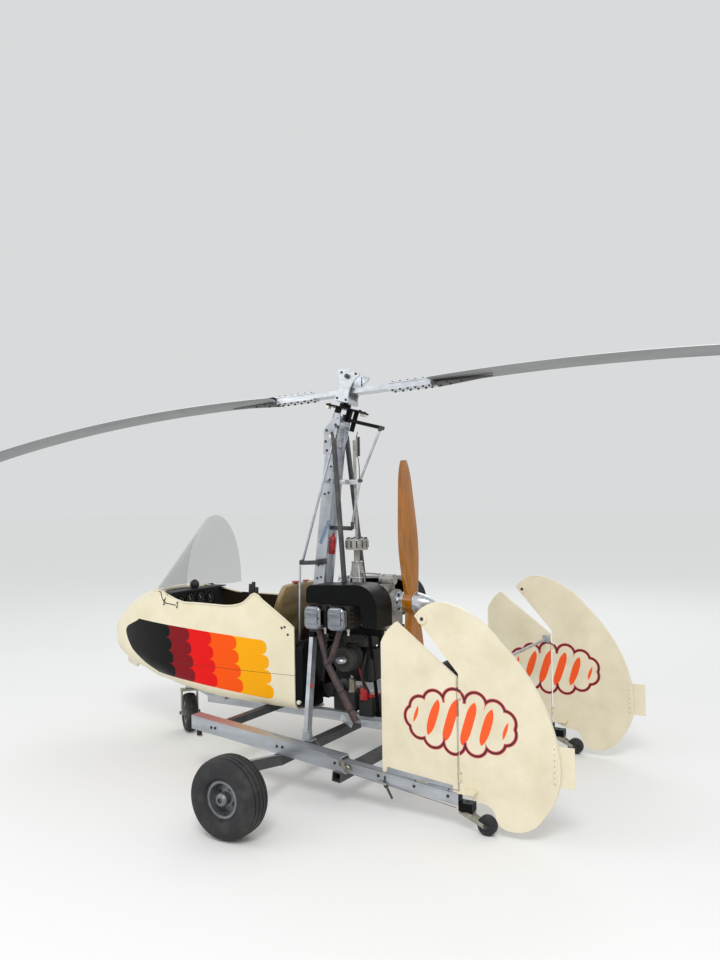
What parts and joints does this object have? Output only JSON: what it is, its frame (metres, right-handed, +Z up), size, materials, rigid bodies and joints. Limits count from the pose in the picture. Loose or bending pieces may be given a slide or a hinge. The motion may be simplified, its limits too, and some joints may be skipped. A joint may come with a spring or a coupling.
{
  "type": "gyrocopter",
  "caption": "Open-frame pusher gyroplane with a moulded nose pod, mast, flat-four engine, wooden propeller, teetering rotor, railed undercarriage and fins with rudders.",
  "frame": {"origin": "on the ground below the centre of the rotor", "axes": "+X forward to the nose and along the parked rotor, +Y to the left side, +Z up"},
  "size_m": [6.9705, 2.765, 2.3766],
  "materials": {
    "gelcoat": "gloss",
    "screen": "clear",
    "panel": "matt",
    "seat": "satin",
    "black": "satin",
    "tube": "satin",
    "dark_tube": "satin",
    "cast": "cast",
    "barrel": "cast",
    "chrome": "polished",
    "exhaust": "oxidised",
    "wood": "varnished",
    "spinner": "polished",
    "tyre": "matt",
    "rim": "cast",
    "caster_metal": "satin",
    "blade": "satin",
    "head_metal": "satin",
    "fin_paint": "gloss"
  },
  "bodies": {
    "airframe": {"pod_upper": "gelcoat", "pod_lower": "gelcoat", "windscreen": "screen", "instrument_panel": "panel", "seat": "seat", "bulkhead": "black", "keel": "tube", "cross_tubes": "dark_tube", "axle_beam": "dark_tube", "nose_head": "tube", "mast": "tube", "mast_braces": "dark_tube", "side_struts": "tube", "engine_mount": "black", "crankcase": "cast", "rocker_covers": "chrome", "cowls": "black", "exhausts": "exhaust", "accessories": "cast", "prerotator": "cast", "fin_brace": "tube", "rail_left": "tube", "boom_left": "tube", "fin_left": "fin_paint", "cylinders_left": "barrel", "caster_mount_left": "black", "rail_right": "tube", "boom_right": "tube", "fin_right": "fin_paint", "cylinders_right": "barrel", "caster_mount_right": "black"},
    "nose_steer": {"nose_fork": "caster_metal"},
    "nose_wheel": {"nose_tyre": "tyre", "nose_rim": "rim"},
    "main_wheel_left": {"main_tyre_left": "tyre", "main_rim_left": "rim"},
    "main_wheel_right": {"main_tyre_right": "tyre", "main_rim_right": "rim"},
    "caster_left": {"caster_fork_left": "caster_metal"},
    "caster_right": {"caster_fork_right": "caster_metal"},
    "caster_roll_left": {"caster_wheel_left": "tyre"},
    "caster_roll_right": {"caster_wheel_right": "tyre"},
    "rudder_left": {"rudder_left": "fin_paint"},
    "rudder_right": {"rudder_right": "fin_paint"},
    "propeller": {"propeller": "wood", "spinner": "spinner", "prop_flange": "rim"},
    "head_pitch": {"head_gimbal": "head_metal", "torque_plate": "black"},
    "rotor_spin": {"rotor_hub": "head_metal"},
    "rotor_teeter": {"hub_bar": "head_metal", "blade_front": "blade", "blade_rear": "blade"}
  },
  "joints": [
    {"name": "nose_steering", "type": "hinge", "parent": "airframe", "child": "nose_steer", "pos_m": [1.35, 0, 0.33], "axis": [0, 0, 1], "range_deg": [-7, 83]},
    {"name": "nose_wheel_spin", "type": "hinge", "parent": "nose_steer", "child": "nose_wheel", "pos_m": [1.3437, 0.00492, 0.13], "axis": [0.6157, 0.788, 0], "continuous": true},
    {"name": "main_wheel_spin_left", "type": "hinge", "parent": "airframe", "child": "main_wheel_left", "pos_m": [-0.076, 1.307, 0.1925], "axis": [0, 1, 0], "continuous": true},
    {"name": "caster_swivel_left", "type": "hinge", "parent": "airframe", "child": "caster_left", "pos_m": [-1.03, 0.707, 0.1], "axis": [0, 0, 1], "continuous": true},
    {"name": "caster_spin_left", "type": "hinge", "parent": "caster_left", "child": "caster_roll_left", "pos_m": [-1.13, 0.707, 0.046], "axis": [0, 1, 0], "continuous": true},
    {"name": "rudder_hinge_left", "type": "hinge", "parent": "airframe", "child": "rudder_left", "pos_m": [-0.994, 0.707, 0.45], "axis": [0, 0, 1], "range_deg": [-25, 25]},
    {"name": "main_wheel_spin_right", "type": "hinge", "parent": "airframe", "child": "main_wheel_right", "pos_m": [-0.076, -1.307, 0.1925], "axis": [0, 1, 0], "continuous": true},
    {"name": "caster_swivel_right", "type": "hinge", "parent": "airframe", "child": "caster_right", "pos_m": [-1.03, -0.707, 0.1], "axis": [0, 0, 1], "continuous": true},
    {"name": "caster_spin_right", "type": "hinge", "parent": "caster_right", "child": "caster_roll_right", "pos_m": [-1.13, -0.707, 0.046], "axis": [0, 1, 0], "continuous": true},
    {"name": "rudder_hinge_right", "type": "hinge", "parent": "airframe", "child": "rudder_right", "pos_m": [-0.994, -0.707, 0.45], "axis": [0, 0, 1], "range_deg": [-25, 25]},
    {"name": "propeller_spin", "type": "hinge", "parent": "airframe", "child": "propeller", "pos_m": [-0.385, 0, 0.969], "axis": [1, 0, 0], "continuous": true},
    {"name": "head_pitch_hinge", "type": "hinge", "parent": "airframe", "child": "head_pitch", "pos_m": [0.075, 0, 2.079], "axis": [0, 1, 0], "range_deg": [0, 14.5]},
    {"name": "rotor_spindle", "type": "hinge", "parent": "head_pitch", "child": "rotor_spin", "pos_m": [0.01294, -0.03263, 2.31897], "axis": [-0.2482, -0.1305, 0.9599], "continuous": true},
    {"name": "teeter_hinge", "type": "hinge", "parent": "rotor_spin", "child": "rotor_teeter", "pos_m": [0.01294, -0.03263, 2.31897], "axis": [-0.0327, 0.9914, 0.1264], "range_deg": [-34, 1]}
  ],
  "couplings": [
    {"joint": "rudder_hinge_right", "follows": "rudder_hinge_left", "ratio": 1}
  ]
}
